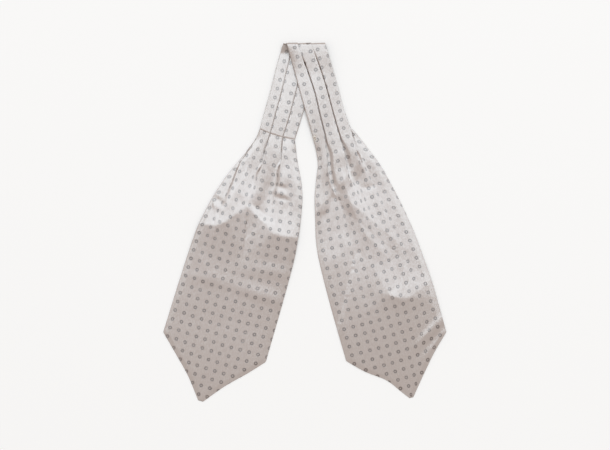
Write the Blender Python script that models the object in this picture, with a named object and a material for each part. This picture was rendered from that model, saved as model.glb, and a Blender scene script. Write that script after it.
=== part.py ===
"""Silk day cravat, folded in half at its pleated neckband and laid flat, face up.

Metres, +Z up. The cravat lies on the plane z = 0, its two pointed blades towards -Y.
The origin is the middle of its outline on that plane.

Each arm is half of the cravat: a stretch of neckband and a blade of two panels. An arm has its own
frame: "down" runs from the fold at the top along the arm, and "out" across it, away from the other
arm. The left arm lies underneath, and the right arm passes over it at the top.
"""

import math
from collections import namedtuple

import bpy

# Cloth
PANEL_WALL = 0.0010        # one panel of a blade
SEAM_GAP = 0.0003          # between pieces that are sewn together
SOLID_RELIEF = 0.0016      # a fold up to this height is solid, a higher one is hollow beneath

# Arms
SPREAD = math.radians(16.3)    # each arm leans this far from the middle line
LEFT_FOLD = (0.00016, 0.27408)  # middle of the neckband at the fold, on the left arm
NECK_SEAM = 0.1480             # down to the seam of neckband and blade
SEAM_BOW = 0.0026              # how far the seam's ends rise above its middle
HALF_NECK = 0.0310             # half the width of the neckband at the seam
CORNERS = 0.4880               # down to a blade's two lower corners
TIP = 0.5745                   # down to its point

# Neckband
BAND_BASE = 0.0022         # its thickness beside a pleat's edge
BAND_RELIEF = 0.0010       # how far a pleat's edge stands above the next panel
ROLL_INSIDE = 0.0014       # inner radius of the soft fold at the top
ROLL_SETTLES = 0.0280      # down to where the upper arm rests on the lower one
SLOPE_WIDTH = 0.0220       # across which the upper arm comes down beside the lower one

# Pleats of the blades
SHEER = 0.0008             # least width of the drop beside a pleat's edge
DROP_GRADE = 1.15          # further width for each unit of height over the solid relief
SWELL = 1.35               # how late a panel rises towards its edge
PLEATS_END = 0.3300        # below this the pleats keep their share of the width
EDGE_CALM = 0.0160         # width beside a blade's edges in which a billow dies away

# Steps of the meshes
BAND_STEP = 0.0100
MOUTH_STEP = 0.0065
PLAIN_STEP = 0.0180
POINT_STEP = 0.0125
BACK_STEP = 0.0165
ROLL_STEPS = 9
PANEL_COLUMNS = (5, 6, 6, 4)
BACK_COLUMNS = 8

Width = namedtuple("Width", "down inner outer")
Pleats = namedtuple("Pleats", "down first rise_first second rise_second third rise_third")
Crest = namedtuple("Crest", "down out height")
Billow = namedtuple("Billow", "rows reach_back reach_front")
Arm = namedtuple("Arm", "name side fold band sides point pleats billow")

MM = 0.001

# Widths to the inner and the outer edge of each arm, from its middle line, in millimetres
LEFT_BAND = (
    Width(-20, 30, 32.5),
    Width(16, 30, 33.6),
    Width(60, 30, 32.6),
    Width(108, 30, 31.9),
    Width(148, 29.2, 32.3),
)
RIGHT_BAND = (
    Width(-20, 28.5, 30.5),
    Width(16, 28.8, 30.8),
    Width(60, 30.3, 30.2),
    Width(108, 31.2, 29.4),
    Width(148, 31.6, 33.5),
)
LEFT_SIDES = (
    Width(148, 29.2, 32.3),
    Width(170, 37.2, 36.6),
    Width(186, 45.5, 41.4),
    Width(202, 54.0, 47.2),
    Width(217, 60.4, 54.2),
    Width(232, 65.2, 60.6),
    Width(264, 72.4, 70.6),
    Width(294, 77.1, 77.3),
    Width(326, 80.6, 81.4),
    Width(403, 81.4, 84.8),
    Width(488, 81.8, 87.8),
)
RIGHT_SIDES = (
    Width(148, 31.6, 33.5),
    Width(170, 33.4, 43.2),
    Width(186, 37.0, 49.4),
    Width(202, 44.0, 56.0),
    Width(217, 50.4, 60.8),
    Width(232, 56.0, 64.4),
    Width(264, 64.2, 71.2),
    Width(294, 71.2, 76.0),
    Width(326, 76.0, 79.8),
    Width(403, 78.8, 84.8),
    Width(488, 79.4, 84.6),
)
# Below the corners the edges run in to the tip. The right blade's inner one is curled inwards.
LEFT_POINT = (
    Width(488, 81.8, 87.8),
    Width(512, 62.2, 65.6),
    Width(542, 33.4, 32.8),
    Width(574.5, 4.6, -2.0),
)
RIGHT_POINT = (
    Width(488, 79.4, 84.6),
    Width(512, 58.6, 60.8),
    Width(534, 30.6, 41.0),
    Width(558, 11.4, 20.4),
    Width(574.5, -2.2, 5.2),
)

# Where the three pleats' edges lie from each arm's middle line, and how high they stand above the
# panel, in millimetres. They are folded hard at the seam, open in the mouth below and run out.
LEFT_PLEATS = (
    Pleats(148, -10.2, 1.0, 10.6, 1.0, 31.0, 0.9),
    Pleats(170, -14.4, 2.2, 11.5, 2.4, 34.2, 1.8),
    Pleats(192, -19.0, 3.8, 10.1, 4.0, 39.6, 2.6),
    Pleats(213, -25.6, 4.6, 8.4, 4.4, 43.4, 3.2),
    Pleats(236, -28.2, 3.0, 6.2, 2.8, 44.2, 2.8),
    Pleats(262, -31.0, 1.4, 6.0, 1.4, 46.2, 1.5),
    Pleats(295, -34.0, 0.7, 7.0, 0.7, 50.4, 0.7),
    Pleats(330, -38.0, 0.4, 8.0, 0.4, 54.0, 0.4),
)
RIGHT_PLEATS = (
    Pleats(148, -10.8, 1.0, 11.2, 1.0, 30.6, 0.9),
    Pleats(170, -13.2, 2.6, 11.3, 2.4, 30.0, 2.0),
    Pleats(192, -18.8, 5.0, 10.0, 3.8, 30.0, 2.4),
    Pleats(213, -22.4, 6.0, 8.2, 4.6, 31.4, 2.2),
    Pleats(236, -21.6, 3.8, 8.7, 3.0, 34.6, 1.6),
    Pleats(262, -23.4, 2.0, 10.9, 1.2, 38.4, 1.1),
    Pleats(295, -26.6, 1.0, 14.6, 0.6, 43.4, 0.8),
    Pleats(330, -30.0, 0.5, 18.0, 0.4, 48.0, 0.5),
)
# The crest of each blade's one large billow, from end to end, and how far it slopes away to each
# side, in millimetres. The left one runs across the blade, with its front towards the tip. The
# right one runs down it, with its front towards the inner edge.
LEFT_BILLOW = Billow(
    (
        Crest(288, -84, 2.4),
        Crest(294, -50, 3.6),
        Crest(289, -24, 3.8),
        Crest(270, 10, 4.0),
        Crest(296, 38, 3.6),
        Crest(309, 56, 2.8),
        Crest(314, 86, 1.6),
    ),
    96,
    130,
)
RIGHT_BILLOW = Billow(
    (
        Crest(196, 8.0, 0.0),
        Crest(222, 8.4, 1.6),
        Crest(259, 11.0, 4.2),
        Crest(283, 14.0, 4.4),
        Crest(307, 17.4, 4.0),
        Crest(338, 24.6, 2.2),
        Crest(360, 33.0, 0.0),
    ),
    48,
    18,
)
# The two pleats that show along each stretch of neckband; the third is its outer edge
BAND_PLEATS = (-0.0102, 0.0108)

SILK = (0.62, 0.57, 0.55, 1.0)
SILK_ROUGHNESS = 0.42


def clear_scene():
    for item in list(bpy.data.objects):
        bpy.data.objects.remove(item, do_unlink=True)


def smooth_step(value):
    value = min(max(value, 0.0), 1.0)
    return value * value * (3.0 - 2.0 * value)


def read(rows, down, column):
    """A column of a table at any distance down: a smooth curve through its rows, in metres."""
    down = min(max(down / MM, rows[0].down), rows[-1].down)
    after = 1
    while after < len(rows) - 1 and rows[after].down < down:
        after += 1
    before = after - 1

    def slope(index):
        low = max(index - 1, 0)
        high = min(index + 1, len(rows) - 1)
        rise = getattr(rows[high], column) - getattr(rows[low], column)
        return rise / (rows[high].down - rows[low].down)

    span = rows[after].down - rows[before].down
    t = (down - rows[before].down) / span
    start = getattr(rows[before], column)
    end = getattr(rows[after], column)
    curve = (
        (2 * t**3 - 3 * t**2 + 1) * start
        + (t**3 - 2 * t**2 + t) * span * slope(before)
        + (3 * t**2 - 2 * t**3) * end
        + (t**3 - t**2) * span * slope(after)
    )
    return curve * MM


def edges(arm, down):
    """Inner and outer edge of an arm, as distances out from its middle line."""
    if down <= NECK_SEAM:
        rows = arm.band
    elif down <= CORNERS:
        rows = arm.sides
    else:
        rows = arm.point
    return -read(rows, down, "inner"), read(rows, down, "outer")


def pleats(arm, down):
    """Edge and height of each pleat of a blade. Below the mouth they keep their share of width."""
    row = min(down, PLEATS_END)
    names = (("first", "rise_first"), ("second", "rise_second"), ("third", "rise_third"))
    inner, outer = edges(arm, row)
    inner_here, outer_here = edges(arm, down)
    fade = 1.0 - smooth_step((down - PLEATS_END) / (CORNERS - PLEATS_END))
    found = []
    for edge, rise in names:
        share = (read(arm.pleats, row, edge) - inner) / (outer - inner)
        place = inner_here + share * (outer_here - inner_here)
        found.append((place, read(arm.pleats, row, rise) * fade))
    return found


def billow(arm, out, down):
    """Height that the blade's large billow adds here: highest on its crest, gone at the edges."""
    inner, outer = edges(arm, down)
    nearest = None
    for start, end in zip(arm.billow.rows, arm.billow.rows[1:]):
        run = ((end.out - start.out) * MM, (end.down - start.down) * MM)
        away = (out - start.out * MM, down - start.down * MM)
        length = math.hypot(*run)
        along = (away[0] * run[0] + away[1] * run[1]) / length**2
        along = min(max(along, 0.0), 1.0)
        distance = math.hypot(away[0] - along * run[0], away[1] - along * run[1])
        if nearest is None or distance < nearest[0]:
            front = run[0] * away[1] - run[1] * away[0] > 0.0
            nearest = (distance, front, start.height + along * (end.height - start.height))
    distance, front, height = nearest
    reach = (arm.billow.reach_front if front else arm.billow.reach_back) * MM
    slope = max(0.0, 1.0 - distance / reach)
    calm = smooth_step(min(out - inner, outer - out) / EDGE_CALM)
    return height * MM * slope**1.4 * calm


def seam_bow(out, down):
    """How far a row is bent up along the curved seam, less and less below it."""
    bend = SEAM_BOW * (out / HALF_NECK) ** 2
    return bend * (1.0 - smooth_step((down - NECK_SEAM) / (2 * HALF_NECK)))


def steps(start, end, pitch):
    """Even stations from start to end, no further apart than the pitch."""
    count = max(1, math.ceil((end - start) / pitch))
    return [start + (end - start) * index / count for index in range(count + 1)]


def solid(name, upper, lower, mirrored):
    """A closed wall between two grids of points, row by row from the top of the arm."""
    rows = len(upper)
    columns = len(upper[0])
    points = [point for row in upper for point in row]
    points += [point for row in lower for point in row]
    below = rows * columns
    faces = []
    for row in range(rows - 1):
        for column in range(columns - 1):
            first = row * columns + column
            quad = (first, first + columns, first + columns + 1, first + 1)
            faces.append(quad)
            faces.append(tuple(below + corner for corner in reversed(quad)))
    rim = [column for column in range(columns)]
    rim += [row * columns + columns - 1 for row in range(1, rows)]
    rim += [(rows - 1) * columns + column for column in range(columns - 2, -1, -1)]
    rim += [row * columns for row in range(rows - 2, 0, -1)]
    for here, after in zip(rim, rim[1:] + rim[:1]):
        faces.append((here, after, below + after, below + here))
    if mirrored:
        faces = [tuple(reversed(face)) for face in faces]
    mesh = bpy.data.meshes.new(name)
    mesh.from_pydata(points, [], faces)
    mesh.validate()
    mesh.shade_smooth()
    mesh.set_sharp_from_angle(angle=math.radians(35))
    item = bpy.data.objects.new(name, mesh)
    bpy.context.scene.collection.objects.link(item)
    mesh.materials.append(silk(name))
    return item


def silk(name):
    material = bpy.data.materials.new(name + "_silk")
    material.use_nodes = True
    shader = material.node_tree.nodes["Principled BSDF"]
    shader.inputs["Base Color"].default_value = SILK
    shader.inputs["Roughness"].default_value = SILK_ROUGHNESS
    shader.inputs["Metallic"].default_value = 0.0
    return material


def pleated_row(arm, down):
    """Places out and heights across a blade: each panel rises to its pleat's edge, then drops."""
    inner, outer = edges(arm, down)
    room = (outer - inner) / (4 * sum(PANEL_COLUMNS))
    row = []
    start = inner
    for (edge, rise), columns in zip(pleats(arm, down), PANEL_COLUMNS):
        for column in range(columns):
            share = column / columns
            row.append((start + share * (edge - start), rise * share**SWELL))
        row.append((edge, rise))
        drop = SHEER + DROP_GRADE * max(0.0, rise - BAND_RELIEF)
        start = edge + min(drop, room + rise)
    last = PANEL_COLUMNS[-1]
    for column in range(last + 1):
        row.append((start + (outer - start) * column / last, 0.0))
    return row


def blade_front(arm):
    base = 2 * PANEL_WALL + SEAM_GAP
    downs = steps(NECK_SEAM + SEAM_GAP / 2, PLEATS_END, MOUTH_STEP)
    downs += steps(PLEATS_END, CORNERS, PLAIN_STEP)[1:]
    downs += steps(CORNERS, TIP, POINT_STEP)[1:]
    upper = []
    lower = []
    for down in downs:
        top = []
        under = []
        for out, fold in pleated_row(arm, down):
            x = arm.side * out
            y = seam_bow(out, down) - down
            rise = fold + billow(arm, out, down)
            top.append((x, y, base + rise))
            under.append((x, y, base - PANEL_WALL + max(0.0, rise - SOLID_RELIEF)))
        upper.append(top)
        lower.append(under)
    return solid(arm.name + "_front", upper, lower, arm.side < 0)


def blade_back(arm):
    downs = steps(NECK_SEAM + SEAM_GAP / 2, CORNERS, BACK_STEP)
    downs += steps(CORNERS, TIP, POINT_STEP)[1:]
    upper = []
    lower = []
    for down in downs:
        inner, outer = edges(arm, down)
        outs = [inner + (outer - inner) * column / BACK_COLUMNS for column in range(BACK_COLUMNS + 1)]
        row = [(arm.side * out, seam_bow(out, down) - down) for out in outs]
        upper.append([(x, y, PANEL_WALL) for x, y in row])
        lower.append([(x, y, 0.0) for x, y in row])
    return solid(arm.name + "_back", upper, lower, arm.side < 0)


def band_outs(arm, down):
    """Places out and heights across a stretch of neckband, with two pleats' edges on it."""
    inner, outer = edges(arm, down)
    row = []
    start = inner
    for edge in BAND_PLEATS + (outer,):
        for column in range(3):
            share = column / 3
            row.append((start + share * (edge - start), BAND_RELIEF * share))
        row.append((edge, BAND_RELIEF))
        start = edge + SHEER
    return row


def on_arm(arm, out, down):
    """World place of a point of an arm, seen from above."""
    lean = arm.side * SPREAD
    across = arm.side * out
    return (
        arm.fold[0] + across * math.cos(lean) + down * math.sin(lean),
        arm.fold[1] + across * math.sin(lean) - down * math.cos(lean),
    )


def down_to_line(arm, out, line):
    """How far down an arm the point at this place out lies on a level line across the cravat."""
    lean = arm.side * SPREAD
    return (arm.fold[1] - line + arm.side * out * math.sin(lean)) / math.cos(lean)


def band_rows(arm, first_line, last_down):
    """Rows of places down a neckband: level beside the fold, square to the arm at its seam."""
    shares = steps(0.0, 1.0, BAND_STEP / last_down)
    rows = []
    for share in shares:
        row = []
        for out, rise in band_outs(arm, share * last_down):
            top = down_to_line(arm, out, first_line)
            end = last_down - seam_bow(out, NECK_SEAM)
            row.append((out, top + (end - top) * share, rise))
        rows.append(row)
    return rows


def neckband_left(arm):
    """The lower stretch, flat on the ground from the seam to the fold."""
    upper = []
    lower = []
    for row in band_rows(arm, arm.fold[1] - SEAM_GAP, NECK_SEAM - SEAM_GAP / 2):
        places = [on_arm(arm, out, down) for out, down, rise in row]
        upper.append([(x, y, BAND_BASE + row[i][2]) for i, (x, y) in enumerate(places)])
        lower.append([(x, y, 0.0) for x, y in places])
    return solid("neckband_left", upper, lower, arm.side < 0)


def lift(left, right, x, y):
    """Height of the upper stretch's underside: over the lower one, then down beside it."""
    lean = -left.side * SPREAD
    across = (x - left.fold[0]) * math.cos(lean) - (y - left.fold[1]) * math.sin(lean)
    edge = read(left.band, 0.05, "inner")
    rest = BAND_BASE + BAND_RELIEF + SEAM_GAP
    over = rest * (1.0 - smooth_step((across - edge - 0.001) / SLOPE_WIDTH))
    roll = (2 * ROLL_INSIDE - SEAM_GAP) * (1.0 - smooth_step((right.fold[1] - y) / ROLL_SETTLES))
    return over + roll


def neckband_right(left, right):
    """The upper stretch: it rolls over at the fold, lies on the lower one and comes down beside it."""
    thick = BAND_BASE + BAND_RELIEF
    centre = thick + ROLL_INSIDE
    rows = band_rows(right, right.fold[1], NECK_SEAM - SEAM_GAP / 2)
    upper = []
    lower = []
    for step in range(ROLL_STEPS):
        turn = math.pi * step / ROLL_STEPS
        show = step / ROLL_STEPS
        outer_row = []
        inner_row = []
        for out, down, rise in rows[0]:
            x, y = on_arm(right, out, down)
            # The strip leans, so it shifts along the fold as it goes round.
            shift = (1.0 - show) * math.pi * (ROLL_INSIDE + thick / 2) * math.tan(SPREAD)
            radius = ROLL_INSIDE + thick - (BAND_RELIEF - rise) * show
            outer_row.append(
                (x - shift, y + radius * math.sin(turn), centre - radius * math.cos(turn))
            )
            inner_row.append(
                (x - shift, y + ROLL_INSIDE * math.sin(turn), centre - ROLL_INSIDE * math.cos(turn))
            )
        upper.append(outer_row)
        lower.append(inner_row)
    for row in rows:
        top = []
        under = []
        for out, down, rise in row:
            x, y = on_arm(right, out, down)
            height = lift(left, right, x, y)
            top.append((x, y, height + BAND_BASE + rise))
            under.append((x, y, height))
        upper.append(top)
        lower.append(under)
    return solid("neckband_right", upper, lower, right.side < 0)


def place_blade(arm, *panels):
    """A blade's panels hang on an empty at the fold, turned with the arm."""
    holder = bpy.data.objects.new(arm.name + "_arm", None)
    bpy.context.scene.collection.objects.link(holder)
    holder.location = (arm.fold[0], arm.fold[1], 0.0)
    holder.rotation_euler = (0.0, 0.0, arm.side * SPREAD)
    for panel in panels:
        panel.parent = holder


def build():
    clear_scene()
    roll_shift = math.pi * (ROLL_INSIDE + (BAND_BASE + BAND_RELIEF) / 2) * math.tan(SPREAD)
    right_fold = (LEFT_FOLD[0] + roll_shift, LEFT_FOLD[1])
    left = Arm(
        "blade_left", -1, LEFT_FOLD, LEFT_BAND, LEFT_SIDES, LEFT_POINT, LEFT_PLEATS, LEFT_BILLOW
    )
    right = Arm(
        "blade_right",
        1,
        right_fold,
        RIGHT_BAND,
        RIGHT_SIDES,
        RIGHT_POINT,
        RIGHT_PLEATS,
        RIGHT_BILLOW,
    )
    for arm in (left, right):
        place_blade(arm, blade_front(arm), blade_back(arm))
    neckband_left(left)
    neckband_right(left, right)


build()
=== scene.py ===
"""The silk day cravat as it looks: pleated satin sheets with a small ring figure, laid flat.

Metres, +Z up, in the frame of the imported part. Each arm has its own frame: "down" runs from the
fold at the top along the arm, and "out" across it, away from the other arm.
"""

import math
from collections import namedtuple

import bpy
import numpy as np
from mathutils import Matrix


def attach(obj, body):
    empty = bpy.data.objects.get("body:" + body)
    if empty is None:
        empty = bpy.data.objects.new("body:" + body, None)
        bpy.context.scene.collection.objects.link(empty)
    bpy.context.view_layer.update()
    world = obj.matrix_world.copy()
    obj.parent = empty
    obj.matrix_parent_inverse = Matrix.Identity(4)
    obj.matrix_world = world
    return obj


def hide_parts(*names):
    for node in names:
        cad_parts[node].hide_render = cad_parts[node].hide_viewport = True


MM = 0.001

# Sizes shared with the solids
SPREAD = math.radians(16.3)  # lean of each arm
LEFT_FOLD = (0.00016, 0.27408)
NECK_SEAM = 0.1480         # distances down an arm
CORNERS = 0.4880
PLEATS_END = 0.3300
SEAM_BOW = 0.0026          # how far the seam curves up at its ends
HALF_NECK = 0.0310
BAND_THICK = 0.0032
BAND_RELIEF = 0.0010       # part of that thickness that the pleats' steps take up
ROLL_INSIDE = 0.0011       # inner radius of the roll at the fold
ROLL_SETTLES = 0.0500      # length over which the upper arm comes down from the roll
SLOPE_START = 0.0310       # where the upper arm starts to come down beside the lower one
SLOPE_WIDTH = 0.0560
SEAM_GAP = 0.0003

# Cloth
SHEET_WALL = 0.00030       # one layer of silk
CLOTH_WIDTH = 0.1660       # cut width of a blade, before it is pleated
FOLD_DEPTH = 0.0050        # how far a pleat's hidden layer is modelled under its edge
FOLD_LEAD = 0.0010         # width beside a pleat's edge that turns with it
CRACK_EASE = 0.0015        # width over which the next panel comes up out of a crack
EDGE_ROLL = 0.0004         # radius of a blade's turned edge
EDGE_EASE = 0.0100         # width over which the cloth thins towards that edge
EDGE_SHARE = 0.60          # share of the height that is left at the turned edge
BAND_ROLL = 0.0013         # radius of the neckband's turned edges
NECK_EASE = 0.0200         # length over which the neckband's thick edge becomes the blade's
EDGE_LIFT = 0.6            # share of a billow's height that lifts the edge as well
LEFT_LOOP = 0.0030         # how much looser the roll at the top is at its left end
LOOP_REACH = 0.026
LOOP_RISE = 0.014          # how far below the fold the lower arm starts to rise into that loop
FOLD_BACK = 0.0014         # how far below the arms' meeting line the roll starts
PANEL_BASE = 0.0018        # height of a blade's face where it lies flat
LEFT_BASE_RISE = 0.0005    # how much higher the left blade starts at its seam
BASE_EASE = 0.0400         # length over which a blade comes down from its seam
EDGE_MIDDLE = 0.0005       # height at which a face and a back meet
BACK_RIM_DROP = 0.0001     # how far under that the back's edge is turned in
BACK_HEIGHT = 0.00035
LEAST_HEIGHT = 0.00065     # a face never dips below this, so it stays clear of the back
BLADE_TUCK = 0.0020        # how far the left blade reaches up into its neckband
BAND_OVERLAP = 0.0006      # how far that neckband's end passes the seam
BAND_END_ROLL = 0.0009     # radius of its turned end, and the height of that end's middle
BAND_END_MIDDLE = 0.0017
LEFT_ROLL_SHARE = 0.85     # share of the half turn at the fold that the left neckband makes

# How the pleats open below the seam
PANEL_TUCK = 0.0006        # how far the last panel lies behind the third pleat's edge
PANEL_TUCK_EASE = 0.0100   # length over which it comes out from there
PANEL_TUCK_LIMIT = 0.0040  # how far the hidden layer may reach behind that edge
LEAST_WIDTH = 0.0002       # of the last panel
GAPE_FROM = 0.1200         # where a crack starts to widen, and over what length
GAPE_OVER = 0.0500
DIP_FROM = 0.1500          # where the dip beside a crack starts to widen, and over what length
DIP_OVER = 0.0300
DIP_BEGINS_OVER = 24.0     # millimetres over which a crack deepens from its start
DIP_ENDS_EARLY = 12.0      # millimetres by which it starts to fade before its pleat opens
OPEN_SLOPE = 0.0090        # width of an opened pleat's slope where the mouths begin
OPEN_SLOPE_GAIN = 0.0090   # how much wider it grows, from where and over what length
OPEN_SLOPE_FROM = 0.2050
OPEN_SLOPE_OVER = 0.0900
OPEN_SLOPE_SHARE = 0.3     # at most this share of the width that is left beside it
OPEN_SHARPNESS = 1.15      # power of a panel's rise there: over 1 it comes late in the width
LEAD_SHARE = 0.25          # the lead beside an edge is at most this share of its panel
FIRST_ROLL_SHARE = 0.2     # and so are the turned edges of the first and the last panel
LAST_ROLL_SHARE = 0.3

# Figure woven into the silk
RING_ACROSS = 0.0144
RING_ALONG = 0.0139
RING_RADIUS = 0.00200
RING_INSIDE = 0.000731     # half the line's width where it is full, and where it has faded out
RING_OUTSIDE = 0.001275
RING_WANDER = 0.00045      # how far a ring strays from its place
RING_SHIFT = (-0.243, -0.15, 0.0)  # of the whole grid, in its own cells
RING_FAINTEST = 0.80       # strength of the faintest ring, where the strongest is 1

# Bar tack at the inner edge of the upper arm, near the seam
TACK_DOWN = (0.1395, 0.1475)
TACK_OUT = -0.0290
TACK_WIDTH = 0.0052
TACK_STITCHES = 11
TACK_SWAY = 0.0005         # how unevenly the stitches' ends line up
TACK_SWAY_TURN = 2.3       # radians from one stitch to the next
THREAD = 0.00034           # radius
STITCH_RISE = 0.7          # in thread radii, how far a stitch stands up and its ends go down
STITCH_DIVE = 2.6

# Steps of the meshes
ROW_STEP = 0.0021
BAND_ROWS = 66
ROLL_ROWS = 22
PANEL_COLUMNS = (18, 22, 22, 16)
ROLL_STEPS = (0.0, 0.05, 0.2, 0.45, 0.75)  # shares of a turned edge's radius
BACK_COLUMNS = 40
BACK_BAND_ROWS = 40
BACK_ROW_SKIP = 3
TACK_STEPS = 9
TACK_SIDES = 8

Width = namedtuple("Width", "down inner outer")
Pleats = namedtuple("Pleats", "down first rise_first second rise_second third rise_third")
Mouth = namedtuple("Mouth", "begins opens opened above gape dip spread")
Turn = namedtuple("Turn", "along near back level drop")
Mark = namedtuple("Mark", "down out height")
Crease = namedtuple("Crease", "share reach_back reach_front power rows")
Flow = namedtuple("Flow", "down along_a along_b along_c along_d across_a across_b across_c across_d")
Arm = namedtuple("Arm", "side fold band sides point pleats mouths creases flow")
Cut = namedtuple("Cut", "width length area")

# Widths to the inner and the outer edge of each arm, from its middle line, in millimetres
LEFT_BAND = (
    Width(-20, 29.5, 30.4),
    Width(16, 29.5, 31.4),
    Width(60, 29.4, 29.1),
    Width(108, 28.9, 28.7),
    Width(148, 28.2, 28.4),
)
RIGHT_BAND = (
    Width(-20, 27.4, 29.8),
    Width(16, 27.4, 30.0),
    Width(60, 28.3, 30.2),
    Width(108, 28.8, 29.4),
    Width(128, 28.8, 29.1),
    Width(138, 28.8, 30.4),
    Width(148, 28.8, 32.6),
)
LEFT_SIDES = (
    Width(148, 28.2, 28.4),
    Width(158, 32.7, 29.4),
    Width(170, 37.6, 32.6),
    Width(186, 45.6, 39.0),
    Width(202, 54.8, 46.4),
    Width(217, 61.0, 53.1),
    Width(232, 65.8, 58.8),
    Width(264, 72.3, 68.5),
    Width(294, 76.5, 74.8),
    Width(326, 79.6, 79.4),
    Width(403, 81.2, 82.4),
    Width(488, 81.6, 84.0),
)
RIGHT_SIDES = (
    Width(148, 28.8, 32.6),
    Width(170, 30.5, 42.8),
    Width(186, 33.6, 49.4),
    Width(202, 40.9, 56.2),
    Width(217, 47.1, 61.2),
    Width(232, 52.6, 64.6),
    Width(264, 61.1, 71.4),
    Width(294, 69.0, 76.4),
    Width(326, 73.3, 80.7),
    Width(403, 76.1, 85.4),
    Width(488, 76.4, 85.0),
)
LEFT_POINT = (
    Width(488, 81.6, 84.0),
    Width(512, 60.3, 58.9),
    Width(542, 31.3, 28.4),
    Width(574.5, 5.4, 2.2),
)
RIGHT_POINT = (
    Width(488, 76.4, 85.0),
    Width(512, 53.0, 59.5),
    Width(534, 25.0, 39.4),
    Width(558, 7.6, 18.6),
    Width(571, -1.8, 7.6),
)

# Where the three pleats' edges lie, and how high they stand, in millimetres. Along the neckband
# the third is its outer edge. They are folded hard down to the seam and open in the mouth below.
LEFT_PLEATS = (
    Pleats(-20, -8.0, 1.0, 14.6, 0.8, 30.4, 0.9),
    Pleats(38, -8.2, 1.0, 13.6, 0.8, 30.4, 0.9),
    Pleats(76, -9.4, 1.0, 11.9, 1.0, 28.9, 0.9),
    Pleats(116, -10.5, 0.9, 11.2, 1.1, 28.7, 0.9),
    Pleats(148, -10.1, 1.0, 10.5, 1.3, 28.4, 0.9),
    Pleats(158, -11.9, 1.6, 10.8, 1.8, 29.3, 0.9),
    Pleats(170, -14.8, 2.2, 11.2, 2.3, 32.5, 1.2),
    Pleats(182, -16.8, 2.2, 11.0, 2.3, 37.0, 1.3),
    Pleats(192, -18.4, 2.0, 10.3, 2.2, 39.8, 1.2),
    Pleats(202, -22.0, 1.8, 9.8, 1.9, 42.8, 1.1),
    Pleats(213, -25.4, 1.5, 8.8, 1.6, 43.5, 1.1),
    Pleats(236, -28.2, 0.9, 6.2, 0.9, 44.0, 0.9),
    Pleats(262, -31.0, 0.4, 6.0, 0.4, 45.4, 0.6),
    Pleats(295, -34.0, 0.1, 7.0, 0.1, 49.0, 0.3),
    Pleats(330, -38.0, 0.0, 8.0, 0.0, 52.0, 0.1),
)
RIGHT_PLEATS = (
    Pleats(-20, -10.8, 1.0, 9.2, 0.9, 29.8, 0.9),
    Pleats(11, -10.6, 1.1, 9.7, 0.9, 30.0, 0.9),
    Pleats(54, -8.6, 1.5, 11.8, 1.0, 30.2, 0.9),
    Pleats(80, -8.1, 1.6, 12.0, 1.1, 30.0, 0.9),
    Pleats(107, -9.6, 1.5, 11.4, 1.1, 29.4, 0.9),
    Pleats(148, -11.6, 1.5, 11.2, 1.3, 30.5, 1.0),
    Pleats(170, -15.0, 1.8, 11.3, 1.8, 30.1, 1.9),
    Pleats(180, -17.3, 2.0, 10.9, 2.2, 29.7, 2.4),
    Pleats(195, -20.6, 1.9, 9.7, 1.7, 29.6, 1.9),
    Pleats(213, -22.6, 0.9, 8.2, 0.8, 31.4, 0.9),
    Pleats(236, -21.6, 0.1, 8.7, 0.2, 34.6, 0.4),
    Pleats(262, -23.4, 0.1, 10.9, 0.2, 38.4, 0.3),
    Pleats(295, -26.6, 0.3, 14.6, 0.4, 43.4, 0.2),
    Pleats(330, -30.0, 0.3, 18.0, 0.2, 48.0, 0.2),
)
# Where the crack beside each pleat's edge begins, and the pleat starts to open and is open, then
# the crack's width along the neckband and in the mouth, how far the next panel dips into it and
# over what width it comes up again, in millimetres
LEFT_MOUTHS = (
    Mouth(30, 176, 204, 0.10, 0.5, 0.6, 3.0),
    Mouth(-40, 186, 216, 0.25, 0.45, 0.5, 3.0),
    Mouth(164, 180, 216, 0.30, 0.6, 0.6, 3.0),
)
RIGHT_MOUTHS = (
    Mouth(14, 214, 256, 0.6, 1.1, 2.0, 11.0),
    Mouth(4, 204, 240, 0.2, 0.5, 1.2, 9.0),
    Mouth(136, 168, 192, 0.3, 0.6, 0.6, 3.0),
)

# The way of the cloth through one pleat, from its edge's top to the next panel: the share of the
# way, millimetres past the edge, the share of the fold's depth behind it, and its height as a
# share of the rise, less a drop in millimetres
TURNS = (
    Turn(0.00, -1.00, 0.00, 1.00, 0.00),
    Turn(0.03, -0.34, 0.00, 1.00, 0.03),
    Turn(0.06, -0.08, 0.00, 1.00, 0.12),
    Turn(0.09, 0.00, 0.00, 1.00, 0.26),
    Turn(0.12, -0.22, 0.00, 1.00, 0.42),
    Turn(0.30, -0.30, 0.50, 1.00, 0.46),
    Turn(0.46, -0.30, 0.96, 0.90, 0.42),
    Turn(0.50, -0.30, 1.00, 0.50, 0.20),
    Turn(0.54, -0.30, 0.96, 0.10, 0.04),
    Turn(0.72, -0.30, 0.50, 0.00, 0.00),
    Turn(0.88, -0.10, 0.00, 0.00, 0.00),
)

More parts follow.
